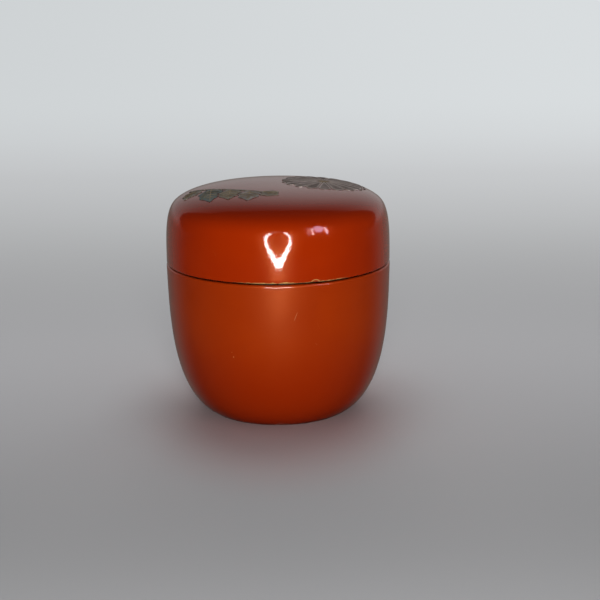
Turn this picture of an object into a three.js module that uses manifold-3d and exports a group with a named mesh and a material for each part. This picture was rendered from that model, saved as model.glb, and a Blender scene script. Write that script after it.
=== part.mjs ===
// Natsume, a tea caddy of turned wood finished in lacquer, in the medium size.
// A cup with a standing lip, and a domed lid that slips over the lip and lifts off.
// Both are wood cores under thin coats of lacquer; the lid carries a raised sprinkled ornament.
// Millimetres, +Z up. The origin is the centre of the base, on the surface that it stands on.

import * as THREE from 'three';
import { mergeVertices } from 'three/addons/utils/BufferGeometryUtils.js';
import Module from 'manifold-3d';

const wasm = await Module();
wasm.setup();

// Cup, outside: a cubic curve from the foot to the seam
const CUP_RADIUS = 33;
const SEAM_HEIGHT = 44.4;
const FOOT_RADIUS = 21;
const FOOT_RISE_ANGLE = 30;
const FOOT_PULL = 14;
const SEAM_LEAN_ANGLE = 2;
const SEAM_PULL = 12;
const ARRIS_RADIUS = 0.5;

// Cup, underside: a bearing ring round a shallow recess
const BEARING_RING_WIDTH = 2.6;
const RECESS_DEPTH = 0.9;
const RECESS_SLOPE_WIDTH = 0.8;
const BASE_COAT_HEIGHT = 1;

// Cup, inside
const CUP_WALL = 2.8;
const FLOOR_THICKNESS = 3.2;
const FLOOR_FILLET = 4.5;

// Standing lip, and the running fit of the lid over it
const LIP_HEIGHT = 8.5;
const LIP_THICKNESS = 1.5;
const LIP_CLEARANCE = 0.15;
const LIP_HEADROOM = 0.8;
const LIP_EDGE_RADIUS = 0.4;

// Lid, outside: a rim, a round shoulder and a low crown, as two cubic curves
const LID_SETBACK = 0.1;
const LID_HEIGHT = 22.8;
const RIM_PULL = 8;
const SHOULDER_INSET = 2.9;
const SHOULDER_DROP = 4.8;
const SHOULDER_ANGLE = 40;
const SHOULDER_PULL_OUT = 4;
const SHOULDER_PULL_IN = 5;
const CROWN_PULL = 18;
const LID_WALL = 2;
const BORE_RUN_IN = 1.5;

// Seats: the seam that stays open under the rim, and the bond line under each coat
const SEAM_GAP = 0.3;
const BOND_GAP = 0.05;
const COAT_THICKNESS = 0.25;

// Ornament on the lid, in plan: an open chrysanthemum on the right, its margin kept to the lid's side
const ORNAMENT_THICKNESS = 0.15;
const ORNAMENT_GAP = 0.35;
const FLOWER_MARGIN = 6.7;
const FLOWER_SETBACK = 3;
const FLOWER_RADIUS = 12.5;
const FLOWER_HEART_RADIUS = 1.5;
const PETAL_COUNT = 18;
const PETAL_ROOT_WIDTH = 0.3;

// A leafy spray that starts by the lid's side on the left; its bend and end count from its start
const SPRAY_MARGIN = 7.3;
const SPRAY_ADVANCE = 0.6;
const STEM_BEND = [10.6, -7];
const STEM_END = [21.2, -12.8];
const STEM_WIDTH = 0.8;
const LEAF_NOTCH = 0.1;
const LEAF_LOBES = 3;
const LEAF_SKEW = 0.85;
const LEAF_FULLNESS = 0.7;
const VEIN_THICKNESS = 0.1;
const VEIN_WIDTH = 0.35;
const VEIN_PITCH = 2.2;
const VEIN_ANGLE = 42;
const VEIN_MARGIN = 0.7;

// Lengths and widths of the leaves
const LEAF_GREY = [9.4, 7];
const LEAF_OLIVE = [10, 7];
const LEAF_DARK = [12.6, 7.6];
const LEAF_END = [6.2, 6.4];
const LEAF_OUTER = [7.4, 6];

// Leaves from the front one back, each with its share along the stem and its direction in degrees
const LEAVES = [
  { name: 'leaf_grey', size: LEAF_GREY, along: 0.85, angle: -95, finish: 'silver' },
  { name: 'leaf_olive', size: LEAF_OLIVE, along: 0.58, angle: -93, finish: 'gold' },
  { name: 'leaf_dark', size: LEAF_DARK, along: 0.31, angle: -90, finish: 'dark' },
  { name: 'leaf_end', size: LEAF_END, along: 1, angle: -40, finish: 'gold' },
  { name: 'leaf_outer', size: LEAF_OUTER, along: 0.13, angle: -122, finish: 'dull' },
];

// Fineness of the round surfaces
const TURNS = 32;
const SIDE_STEPS = 9;
const SHOULDER_STEPS = 5;
const CROWN_STEPS = 5;
const FILLET_STEPS = 3;
const EDGE_STEPS = 2;
const LEAF_STEPS = 12;
const STEM_STEPS = 6;
const TIP_STEPS = 4;

// Finishes, as seen on the piece
const FINISHES = {
  wood: { color: '#b58d5e', roughness: 0.75, metalness: 0 },
  vermilion: { color: '#c1440e', roughness: 0.16, metalness: 0 },
  black: { color: '#17110e', roughness: 0.2, metalness: 0 },
  silver: { color: '#6b605c', roughness: 0.5, metalness: 0.6 },
  gold: { color: '#8d7440', roughness: 0.45, metalness: 0.7 },
  dark: { color: '#39413f', roughness: 0.45, metalness: 0.3 },
  dull: { color: '#57503f', roughness: 0.5, metalness: 0.5 },
};

const at = (radius, height) => new THREE.Vector2(radius, height);
const radians = THREE.MathUtils.degToRad;
const lidRadius = CUP_RADIUS - LID_SETBACK;

// A step of the given length in a direction, the angle counted from straight outward
function towards(angle, length) {
  return at(length * Math.cos(radians(angle)), length * Math.sin(radians(angle)));
}

// Section lines: lists of points in the radius-height plane, with the material on their left

// The point that would follow the end of a line: its mirror on the axis, or straight on
function beyond(end, neighbour) {
  if (end.x === 0) return at(-neighbour.x, neighbour.y);
  return end.clone().sub(neighbour).add(end);
}

function leftOf(from, to) {
  return at(from.y - to.y, to.x - from.x).normalize();
}

// The same line moved into the material by a depth, with mitred corners
function inset(line, depth) {
  return line.map((point, i) => {
    const before = line[i - 1] ?? beyond(point, line[i + 1]);
    const after = line[i + 1] ?? beyond(point, line[i - 1]);
    const mitre = leftOf(before, point).add(leftOf(point, after));
    return point.clone().addScaledVector(mitre, (2 * depth) / mitre.lengthSq());
  });
}

// The part of a rising line above a height, cut where the line crosses it
function above(line, height) {
  const first = line.findIndex((point) => point.y > height);
  const [low, high] = [line[first - 1], line[first]];
  const share = (height - low.y) / (high.y - low.y);
  return [low.clone().lerp(high, share), ...line.slice(first)];
}

// The part of a rising line below a height, cut where the line crosses it
function below(line, height) {
  const cut = above(line, height)[0];
  return [...line.filter((point) => point.y < height), cut];
}

// A corner eased by a round of equal reach along both of its sides
function eased(before, corner, after, reach) {
  const start = corner.clone().add(before.clone().sub(corner).setLength(reach));
  const end = corner.clone().add(after.clone().sub(corner).setLength(reach));
  return new THREE.QuadraticBezierCurve(start, corner, end).getPoints(EDGE_STEPS);
}

// Cup section, from the middle of the base to the middle of the floor: base, wall and inside
function cupSection() {
  const foot = at(FOOT_RADIUS, 0);
  const seam = at(CUP_RADIUS, SEAM_HEIGHT);
  const side = new THREE.CubicBezierCurve(
    foot,
    foot.clone().add(towards(FOOT_RISE_ANGLE, FOOT_PULL)),
    seam.clone().sub(towards(90 - SEAM_LEAN_ANGLE, SEAM_PULL)),
    seam,
  ).getPoints(SIDE_STEPS);

  const ringInside = FOOT_RADIUS - BEARING_RING_WIDTH;
  const recess = [
    at(0, RECESS_DEPTH),
    at(ringInside - RECESS_SLOPE_WIDTH, RECESS_DEPTH),
    at(ringInside, 0),
  ];
  const base = [...recess, ...below(side, BASE_COAT_HEIGHT)];

  const lipRadius = lidRadius - LID_WALL - LIP_CLEARANCE;
  const lipInside = lipRadius - LIP_THICKNESS;
  const lipTop = SEAM_HEIGHT + LIP_HEIGHT;
  const lipRoot = at(lipRadius, SEAM_HEIGHT);
  const lipOuter = at(lipRadius, lipTop);
  const lipInner = at(lipInside, lipTop);
  const mouth = at(lipInside, SEAM_HEIGHT);

  const arris = eased(side.at(-2), seam, lipRoot, ARRIS_RADIUS);
  const wall = [...above(side, BASE_COAT_HEIGHT).slice(0, -1), ...arris];

  const floor = RECESS_DEPTH + FLOOR_THICKNESS;
  const cavity = below(above(inset(side, CUP_WALL), floor + FLOOR_FILLET), SEAM_HEIGHT - ARRIS_RADIUS)
    .map((point) => at(Math.min(point.x, lipInside), point.y))
    .reverse();
  const inside = [
    ...eased(lipRoot, lipOuter, lipInner, LIP_EDGE_RADIUS),
    ...eased(lipOuter, lipInner, mouth, LIP_EDGE_RADIUS),
    ...cavity.slice(0, -1),
    ...floorFillet(cavity.at(-2), cavity.at(-1), floor),
    at(0, floor),
  ];
  return [base, wall, [arris.at(-1), lipRoot, ...inside]];
}

// The round between a cavity wall, given by its last two points, and the floor
function floorFillet(upper, lower, floor) {
  const fall = lower.clone().sub(upper);
  const corner = lower.clone().addScaledVector(fall, (floor - lower.y) / fall.y);
  const landing = at(corner.x - corner.distanceTo(lower), floor);
  return new THREE.QuadraticBezierCurve(lower, corner, landing).getPoints(FILLET_STEPS);
}

// Lid section, from the middle of the ceiling to the crown: inside and outside, heights from the rim
function lidSection() {
  const rim = at(lidRadius, 0);
  const crown = at(0, LID_HEIGHT);
  const shoulder = at(lidRadius - SHOULDER_INSET, LID_HEIGHT - SHOULDER_DROP);
  const wall = new THREE.CubicBezierCurve(
    rim,
    rim.clone().add(at(0, RIM_PULL)),
    shoulder.clone().sub(towards(180 - SHOULDER_ANGLE, SHOULDER_PULL_OUT)),
    shoulder,
  ).getPoints(SHOULDER_STEPS);
  const dome = new THREE.CubicBezierCurve(
    shoulder,
    shoulder.clone().add(towards(180 - SHOULDER_ANGLE, SHOULDER_PULL_IN)),
    crown.clone().add(at(CROWN_PULL, 0)),
    crown,
  ).getPoints(CROWN_STEPS);
  const outside = [...wall, ...dome.slice(1)];

  const bore = lidRadius - LID_WALL;
  const boreTop = LIP_HEIGHT + LIP_HEADROOM;
  const boreFoot = at(bore, 0);
  const ceiling = above(inset(outside, LID_WALL), boreTop + BORE_RUN_IN).reverse();
  const mouth = eased(at(bore, boreTop), boreFoot, rim, LIP_EDGE_RADIUS);
  const arris = eased(boreFoot, rim, wall[1], ARRIS_RADIUS);
  return [[...ceiling, at(bore, boreTop), ...mouth, arris[0]], [...arris, ...outside.slice(1)]];
}

// Solids of revolution

function revolve(section) {
  return new THREE.LatheGeometry(section, TURNS).rotateX(Math.PI / 2);
}

// Stretches that follow one another, as one line without doubled points
function joined(stretches) {
  return stretches.flatMap((line, i) => (i === 0 ? line : line.slice(1)));
}

// The wood under the coats: the whole section, set in by a coat and its bond line
function turnedCore(stretches) {
  return revolve(inset(joined(stretches), COAT_THICKNESS + BOND_GAP));
}

// The line from one bond gap past its start, so that it clears the coat before it
function clearOfStart(line) {
  const step = line[1].clone().sub(line[0]).setLength(BOND_GAP);
  return [line[0].clone().add(step), ...line.slice(1)];
}

// A coat between its outer face and its back, as one closed section
function closedCoat(face, back) {
  const inward = [...back].reverse();
  if (face[0].x === 0) return [...face, ...inward];
  if (face.at(-1).x === 0) return [...inward, ...face];
  return [...face, ...inward, face[0]];
}

// One coat for each stretch of the section; the coats meet at the mitres of the whole line
function coats(stretches) {
  const backs = inset(joined(stretches), COAT_THICKNESS);
  let start = 0;
  return stretches.map((line, i) => {
    const back = backs.slice(start, start + line.length);
    start += line.length - 1;
    if (i === 0) return revolve(closedCoat(line, back));
    return revolve(closedCoat(clearOfStart(line), clearOfStart(back)));
  });
}

// Booleans

function toSolid(geometry) {
  const bare = geometry.clone();
  bare.deleteAttribute('normal');
  bare.deleteAttribute('uv');
  const merged = mergeVertices(bare);
  const corners = [...merged.index.array];
  const faces = [];
  for (let i = 0; i < corners.length; i += 3) {
    const [a, b, c] = corners.slice(i, i + 3);
    if (a !== b && b !== c && c !== a) faces.push(a, b, c);
  }
  const vertProperties = new Float32Array(merged.attributes.position.array);
  const triVerts = new Uint32Array(faces);
  return new wasm.Manifold(new wasm.Mesh({ numProp: 3, vertProperties, triVerts }));
}

function toGeometry(solid) {
  const { vertProperties, triVerts } = solid.getMesh();
  const geometry = new THREE.BufferGeometry();
  geometry.setAttribute('position', new THREE.BufferAttribute(vertProperties, 3));
  geometry.setIndex(new THREE.BufferAttribute(triVerts, 1));
  geometry.computeVertexNormals();
  return geometry;
}

// Ornament: flat outlines in plan, carried up and cut to a thin layer over the crown

// A closed layer over the lid from one height above its surface to another
function crownLayer(outside, low, high) {
  const inner = inset(outside, -low);
  const outer = inset(outside, -high);
  return toSolid(revolve([...inner.reverse(), ...outer]));
}

function prism(shape) {
  const options = { depth: 2 * LID_HEIGHT, bevelEnabled: false, curveSegments: TIP_STEPS };
  return toSolid(new THREE.ExtrudeGeometry(shape, options));
}

// A petal that widens from the flower's heart to a round tip, half a gap clear of its neighbours
function petalShape() {
  const pitch = (2 * Math.PI) / PETAL_COUNT;
  const start = Math.max(FLOWER_HEART_RADIUS + ORNAMENT_GAP, (PETAL_ROOT_WIDTH + ORNAMENT_GAP) / pitch);
  const root = (start * pitch - ORNAMENT_GAP) / 2;
  const tip = (FLOWER_RADIUS * pitch - ORNAMENT_GAP) / (2 + pitch);
  const shape = new THREE.Shape();
  shape.moveTo(start, -root);
  shape.lineTo(FLOWER_RADIUS - tip, -tip);
  shape.absarc(FLOWER_RADIUS - tip, 0, tip, -Math.PI / 2, Math.PI / 2);
  shape.lineTo(start, root);
  shape.closePath();
  return shape;
}

function heartShape() {
  const shape = new THREE.Shape();
  shape.absarc(0, 0, FLOWER_HEART_RADIUS, 0, 2 * Math.PI);
  return shape;
}

// Half the width of a lobed leaf at a share of its length, with an edge grown by a margin
function leafHalfWidth(share, width, margin) {
  const body = Math.sin(Math.PI * share ** LEAF_SKEW) ** LEAF_FULLNESS;
  const lobes = 1 - LEAF_NOTCH * (1 - Math.cos(2 * Math.PI * LEAF_LOBES * share));
  return (width / 2) * body * lobes + margin;
}

function leafShape([length, width], margin = 0) {
  const shares = Array.from({ length: LEAF_STEPS - 1 }, (_, i) => (i + 1) / LEAF_STEPS);
  const upper = shares.map((share) => at(share * length, leafHalfWidth(share, width, margin)));
  const lower = upper.map((point) => at(point.x, -point.y)).reverse();
  return new THREE.Shape([at(-margin, 0), ...upper, at(length + margin, 0), ...lower]);
}

// A bar in plan from a point, in a direction
function bar(from, angle, length, width) {
  const [low, high] = [-width / 2, width / 2];
  const shape = new THREE.Shape([at(0, low), at(length, low), at(length, high), at(0, high)]);
  return prism(shape).rotate([0, 0, angle]).translate([from.x, from.y, 0]);
}

// The midrib of a leaf with paired side veins that stop short of its edge
function veins([length, width]) {
  let ribs = bar(at(VEIN_MARGIN, 0), 0, length - 2 * VEIN_MARGIN, VEIN_WIDTH);
  for (let x = VEIN_PITCH; x < length - VEIN_PITCH; x += VEIN_PITCH) {
    const room = leafHalfWidth((x + VEIN_PITCH / 2) / length, width, -VEIN_MARGIN);
    const reach = room / Math.sin(radians(VEIN_ANGLE));
    ribs = ribs.add(bar(at(x, 0), VEIN_ANGLE, reach, VEIN_WIDTH));
    ribs = ribs.add(bar(at(x, 0), -VEIN_ANGLE, reach, VEIN_WIDTH));
  }
  return ribs;
}

const sprayStart = at(SPRAY_MARGIN - lidRadius, -SPRAY_ADVANCE);
const stemCurve = new THREE.QuadraticBezierCurve(
  sprayStart,
  sprayStart.clone().add(at(...STEM_BEND)),
  sprayStart.clone().add(at(...STEM_END)),
);

// The stem: a band of even width along its curve, with square ends, grown all round by a margin
function stemShape(margin = 0) {
  const middle = stemCurve.getPoints(STEM_STEPS);
  middle[0].addScaledVector(stemCurve.getTangent(0), -margin);
  middle.at(-1).addScaledVector(stemCurve.getTangent(1), margin);
  const left = inset(middle, STEM_WIDTH / 2 + margin);
  const right = inset(middle, -STEM_WIDTH / 2 - margin);
  return new THREE.Shape([...right, ...left.reverse()]);
}

// Assembly

function piece(name, geometry, finish) {
  const mesh = new THREE.Mesh(geometry, new THREE.MeshStandardMaterial(FINISHES[finish]));
  mesh.name = name;
  return mesh;
}

function cup() {
  const stretches = cupSection();
  const [baseCoat, sideCoat, innerCoat] = coats(stretches);
  const group = new THREE.Group();
  group.add(piece('cup_wood', turnedCore(stretches), 'wood'));
  group.add(piece('cup_base_lacquer', baseCoat, 'vermilion'));
  group.add(piece('cup_side_lacquer', sideCoat, 'vermilion'));
  group.add(piece('cup_inner_lacquer', innerCoat, 'black'));
  return group;
}

function lid() {
  const stretches = lidSection();
  const [innerCoat, outerCoat] = coats(stretches);
  const group = new THREE.Group();
  group.add(piece('lid_wood', turnedCore(stretches), 'wood'));
  group.add(piece('lid_inner_lacquer', innerCoat, 'black'));
  group.add(piece('lid_outer_lacquer', outerCoat, 'vermilion'));
  ornament(stretches.at(-1)).forEach((mesh) => group.add(mesh));
  group.position.z = SEAM_HEIGHT + SEAM_GAP;
  return group;
}

function ornament(outside) {
  const layer = crownLayer(outside, BOND_GAP, BOND_GAP + ORNAMENT_THICKNESS);
  const veinFloor = 2 * BOND_GAP + ORNAMENT_THICKNESS;
  const veinLayer = crownLayer(outside, veinFloor, veinFloor + VEIN_THICKNESS);
  return [...flower(layer), ...spray(layer, veinLayer)];
}

function flower(layer) {
  const centre = [lidRadius - FLOWER_MARGIN - FLOWER_RADIUS, FLOWER_SETBACK, 0];
  const heart = prism(heartShape()).translate(centre);
  const meshes = [piece('flower_heart', toGeometry(heart.intersect(layer)), 'gold')];
  for (let i = 0; i < PETAL_COUNT; i += 1) {
    const number = String(i + 1).padStart(2, '0');
    const turn = ((i + 0.5) * 360) / PETAL_COUNT;
    const petal = prism(petalShape()).rotate([0, 0, turn]).translate(centre);
    meshes.push(piece(`petal_${number}`, toGeometry(petal.intersect(layer)), 'silver'));
  }
  return meshes;
}

// Each leaf grows from the stem, and is cut back round the stem and the leaves in front of it
function spray(layer, veinLayer) {
  const meshes = [piece('stem', toGeometry(prism(stemShape()).intersect(layer)), 'dull')];
  let taken = prism(stemShape(ORNAMENT_GAP));
  for (const leaf of LEAVES) {
    const root = stemCurve.getPoint(leaf.along);
    const place = (solid) => solid.rotate([0, 0, leaf.angle]).translate([root.x, root.y, 0]);
    const blade = place(prism(leafShape(leaf.size))).subtract(taken);
    const ribs = place(veins(leaf.size)).subtract(taken);
    meshes.push(piece(leaf.name, toGeometry(blade.intersect(layer)), leaf.finish));
    meshes.push(piece(`${leaf.name}_veins`, toGeometry(ribs.intersect(veinLayer)), 'gold'));
    taken = taken.add(place(prism(leafShape(leaf.size, ORNAMENT_GAP))));
  }
  return meshes;
}

const natsume = new THREE.Group();
natsume.add(cup(), lid());

export default natsume;
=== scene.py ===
"""Looks of a natsume, a domed tea caddy of turned wood under vermilion lacquer.

The caddy is a cup with a standing lip and a lid that slips over it. Each is a wood core
under thin coats of lacquer, and the lid carries a raised ornament of sprinkled powders.
Sizes of the caddy are in millimetres until a mesh is made, and the studio's are in metres.
Angles are in degrees.
"""

import logging
import math
from bisect import bisect_left
from collections.abc import Iterable
from dataclasses import dataclass, field
from enum import Enum

import bmesh
import bpy
from mathutils import Euler, Matrix, Vector
from mathutils.geometry import interpolate_bezier


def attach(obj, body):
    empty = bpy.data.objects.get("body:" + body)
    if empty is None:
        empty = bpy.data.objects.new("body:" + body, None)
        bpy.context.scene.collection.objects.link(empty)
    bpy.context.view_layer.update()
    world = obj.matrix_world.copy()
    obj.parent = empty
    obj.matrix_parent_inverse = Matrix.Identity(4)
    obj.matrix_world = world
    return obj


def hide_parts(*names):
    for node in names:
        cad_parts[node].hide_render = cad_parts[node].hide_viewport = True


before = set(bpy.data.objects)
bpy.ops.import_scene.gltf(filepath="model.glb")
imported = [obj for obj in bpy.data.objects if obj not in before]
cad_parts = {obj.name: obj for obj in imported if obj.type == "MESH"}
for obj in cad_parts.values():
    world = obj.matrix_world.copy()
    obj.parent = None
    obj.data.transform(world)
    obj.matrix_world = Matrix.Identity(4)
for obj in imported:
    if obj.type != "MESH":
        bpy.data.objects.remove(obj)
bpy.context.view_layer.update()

log = logging.getLogger("natsume")

MM = 0.001
SPIN_STEPS = 160
CURVE_STEPS = 40
EDGE_STEPS = 6
SHARP_ANGLE = math.radians(38)
# A point of a section this close to the axis lies on it
ON_AXIS = 0.001
# Points closer than a weld become one, and a face thinner than a sliver goes
WELD, SLIVER = 0.0005, 0.0001
RELIEF_WELD, RELIEF_SLIVER = 0.002, 0.001
CUTTER_REACH = 5.0
# The attribute that says how near a point of a petal is to the petal's edge
RIM = "rim"
# Lobes on each side of a leaf
LEAF_LOBES = 3

Line = list[Vector]


# Section lines, in the radius-height plane, with the material on their left


def at(radius: float, height: float) -> Vector:
    """Returns the point of a section at a radius and a height, in millimetres."""
    return Vector((radius, height))


def step(angle: float, length: float) -> Vector:
    """Returns a step of a length, its angle in degrees from straight outward."""
    return at(math.cos(math.radians(angle)), math.sin(math.radians(angle))) * length


def cubic(start: Vector, pull: Vector, back: Vector, end: Vector, steps: int) -> Line:
    """Samples a cubic curve.

    Args:
        start: The first point.
        pull: The handle of the first point.
        back: The handle of the last point.
        end: The last point.
        steps: How many stretches the line has.

    Returns:
        The points from start to end.
    """
    return [point.to_2d() for point in interpolate_bezier(start, pull, back, end, steps + 1)]


def eased(before: Vector, corner: Vector, after: Vector, reach: float) -> Line:
    """Rounds a corner.

    Args:
        before: A point on the side that comes first.
        corner: The sharp corner.
        after: A point on the side that follows.
        reach: How far along both sides the round goes.

    Returns:
        The points of the round, its ends among them.
    """
    start = corner + (before - corner).normalized() * reach
    end = corner + (after - corner).normalized() * reach
    pull = start.lerp(corner, 2 / 3)
    back = end.lerp(corner, 2 / 3)
    return cubic(start, pull, back, end, EDGE_STEPS)


def left_of(start: Vector, end: Vector) -> Vector:
    """Returns the unit vector to the left of a step."""
    return Vector((start.y - end.y, end.x - start.x)).normalized()


def beyond(end: Vector, neighbour: Vector) -> Vector:
    """Returns the point that would follow the end: its mirror on the axis, or straight on."""
    return at(-neighbour.x, neighbour.y) if end.x < ON_AXIS else 2 * end - neighbour


def inset(line: Line, depth: float) -> Line:
    """Moves a line into the material.

    Args:
        line: The points of the line.
        depth: How deep the new line lies, with mitred corners.

    Returns:
        As many points as the line has; one on the axis stays there.
    """
    moved = []
    for i, point in enumerate(line):
        before = line[i - 1] if i else beyond(point, line[1])
        after = line[i + 1] if i + 1 < len(line) else beyond(point, line[i - 1])
        mitre = left_of(before, point) + left_of(point, after)
        place = point + mitre * (2 * depth / mitre.length_squared)
        moved.append(at(0, place.y) if point.x < ON_AXIS else place)
    return moved


def above(line: Line, height: float) -> Line:
    """Cuts a rising line at a height.

    Args:
        line: The points of the line.
        height: Where it is cut.

    Returns:
        The part above the height, from the cut up.
    """
    first = next(i for i, point in enumerate(line) if point.y > height)
    low, high = line[first - 1], line[first]
    return [low.lerp(high, (height - low.y) / (high.y - low.y)), *line[first:]]


def below(line: Line, height: float) -> Line:
    """Returns the part of a rising line below a height, cut at that height."""
    return [*(point for point in line if point.y < height), above(line, height)[0]]


# Meshes


def in_scene(name: str, data: bpy.types.ID) -> bpy.types.Object:
    """Puts a mesh, a lamp or a camera in the scene.

    Args:
        name: The name of the object.
        data: What it holds.

    Returns:
        The object.
    """
    made = bpy.data.objects.new(name, data)
    bpy.context.scene.collection.objects.link(made)
    return made


def as_mesh(name: str, bm: bmesh.types.BMesh) -> bpy.types.Mesh:
    """Keeps a bmesh as a mesh.

    Args:
        name: The name of the mesh.
        bm: The shape, which is freed.

    Returns:
        The mesh.
    """
    mesh = bpy.data.meshes.new(name)
    bm.to_mesh(mesh)
    bm.free()
    return mesh


def finish_mesh(name: str, bm: bmesh.types.BMesh) -> bpy.types.Object:
    """Turns a bmesh in millimetres into a smooth piece in metres.

    Args:
        name: The name of the piece.
        bm: Its shape, which is freed.

    Returns:
        The object, at the origin, with its place in its mesh.
    """
    bmesh.ops.remove_doubles(bm, verts=bm.verts, dist=WELD)
    bmesh.ops.dissolve_degenerate(bm, edges=bm.edges, dist=SLIVER)
    bmesh.ops.recalc_face_normals(bm, faces=bm.faces)
    bmesh.ops.scale(bm, vec=Vector((MM, MM, MM)), verts=bm.verts)
    piece = in_scene(name, as_mesh(name, bm))
    piece.data.shade_smooth()
    piece.data.set_sharp_from_angle(angle=SHARP_ANGLE)
    return piece


def turned(section: Line, base: float = 0.0) -> bmesh.types.BMesh:
    """Turns a section about the axis.

    Args:
        section: Its points; a section that doesn't start on the axis closes on itself.
        base: The height of the section's zero.

    Returns:
        The turned solid, in millimetres.
    """
    bm = bmesh.new()
    verts = [bm.verts.new((point.x, 0, point.y + base)) for point in section]
    edges = [bm.edges.new(pair) for pair in zip(verts, verts[1:])]
    if section[0].x > ON_AXIS:
        edges.append(bm.edges.new((verts[-1], verts[0])))
    bmesh.ops.spin(
        bm,
        geom=[*verts, *edges],
        cent=Vector(),
        axis=Vector((0, 0, 1)),
        angle=2 * math.pi,
        steps=SPIN_STEPS,
        use_merge=True,
    )
    return bm


def z_turn(angle: float) -> Matrix:
    """Returns the matrix of a turn about the axis, in degrees."""
    return Matrix.Rotation(math.radians(angle), 3, "Z")


def backed(bm: bmesh.types.BMesh, floor: float = 0.0) -> None:
    """Closes a relief with a flat underside and straight sides.

    Args:
        bm: The top of the relief, which is changed.
        floor: The height of the underside.
    """
    bmesh.ops.remove_doubles(bm, verts=bm.verts, dist=RELIEF_WELD)
    bmesh.ops.dissolve_degenerate(bm, edges=bm.edges, dist=RELIEF_SLIVER)
    made = bmesh.ops.extrude_face_region(bm, geom=list(bm.faces), use_keep_orig=True)
    for item in made["geom"]:
        if isinstance(item, bmesh.types.BMVert):
            item.co.z = floor
    bmesh.ops.recalc_face_normals(bm, faces=bm.faces)


def prism(bm: bmesh.types.BMesh) -> bpy.types.Object:
    """Makes a tall upright cutter from a flat outline.

    Args:
        bm: The outline as a flat relief, which is freed.

    Returns:
        The cutter, in millimetres.
    """
    for vert in bm.verts:
        vert.co.z = CUTTER_REACH
    bmesh.ops.remove_doubles(bm, verts=bm.verts, dist=RELIEF_WELD)
    bmesh.ops.dissolve_faces(bm, faces=list(bm.faces), use_verts=False)
    backed(bm, -CUTTER_REACH)
    return in_scene("cutter", as_mesh("cutter", bm))


def carve(bm: bmesh.types.BMesh, cutters: list[bpy.types.Object]) -> bmesh.types.BMesh:
    """Cuts a relief back round what lies in front of it.

    Args:
        bm: The relief, which is freed.
        cutters: The upright cutters.

    Returns:
        The relief without what the cutters take.
    """
    relief = in_scene("relief", as_mesh("relief", bm))
    for cutter in cutters:
        cut = relief.modifiers.new("cut", "BOOLEAN")
        cut.object, cut.operation, cut.solver = cutter, "DIFFERENCE", "EXACT"
        cut.use_self = True
    bpy.context.view_layer.update()
    shape = relief.evaluated_get(bpy.context.evaluated_depsgraph_get())
    carved = bmesh.new()
    carved.from_mesh(shape.data)
    bpy.data.objects.remove(relief)
    bmesh.ops.triangulate(carved, faces=[face for face in carved.faces if len(face.verts) > 4])
    return carved


def hand_in(
    piece: bpy.types.Object, body: str, node: str, material: bpy.types.Material
) -> None:
    """Dresses a piece and puts it in the place of its node.

    Args:
        piece: The finished piece.
        body: The body that it moves with.
        node: The plain solid that it stands for.
        material: Its finish.
    """
    piece.data.materials.append(material)
    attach(piece, body)
    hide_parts(node)
    log.info("%s: %d faces, %s", piece.name, len(piece.data.polygons), material.name)


# Materials

SMOOTH = {"interpolation_type": "SMOOTHSTEP"}
IN_COLOUR = {"data_type": "RGBA"}


def linear(colour: str) -> tuple[float, float, float, float]:
    """Turns an sRGB hex value into a linear colour.

    Args:
        colour: The value, such as #a03c14.

    Returns:
        Its red, green, blue and alpha.
    """
    shares = [int(colour[i : i + 2], 16) / 255 for i in (1, 3, 5)]
    light = [s / 12.92 if s <= 0.04045 else ((s + 0.055) / 1.055) ** 2.4 for s in shares]
    return (*light, 1.0)


def per_mm(size: float) -> float:
    """Returns the scale of a pattern whose features are a size in millimetres."""
    return 1 / (size * MM)


def live(sockets: Iterable[bpy.types.NodeSocket], name: str = "") -> bpy.types.NodeSocket:
    """Returns the first socket that a node's settings leave in use, of a name if one is given."""
    return next(one for one in sockets if one.enabled and name in ("", one.name))


def add(tree: bpy.types.NodeTree, kind: str, inputs: dict, **settings: object) -> bpy.types.Node:
    """Adds a node with its settings and links.

    Args:
        tree: The node tree.
        kind: The type of the node.
        inputs: By the name or number of each input, a value, or what to link: an output, or a
            node for its first output.
        **settings: The node's own properties.

    Returns:
        The node.
    """
    node = tree.nodes.new(kind)
    for name, value in settings.items():
        setattr(node, name, value)
    for key, value in inputs.items():
        socket = live(node.inputs, key) if isinstance(key, str) else node.inputs[key]
        if isinstance(value, bpy.types.Node):
            tree.links.new(live(value.outputs), socket)
        elif isinstance(value, bpy.types.NodeSocket):
            tree.links.new(value, socket)
        else:
            socket.default_value = value
    return node


class Finish:
    """What the finishes share: a node tree with one shader, over the object coordinates."""

    title: str

    def material(self) -> bpy.types.Material:
        """Makes the material, or finds it where another piece has it already.

        Returns:
            The material.
        """
        found = bpy.data.materials.get(self.title)
        if found:
            return found
        made = bpy.data.materials.new(self.title)
        made.use_nodes = True
        tree = made.node_tree
        tree.nodes.clear()
        place = add(tree, "ShaderNodeTexCoord", {}).outputs["Object"]
        add(tree, "ShaderNodeOutputMaterial", {"Surface": self.shader(tree, place)})
        return made

    def shader(self, tree: bpy.types.NodeTree, place: bpy.types.NodeSocket) -> bpy.types.Node:
        """Returns the shader node, which each finish builds in its own way."""
        raise NotImplementedError


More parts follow.
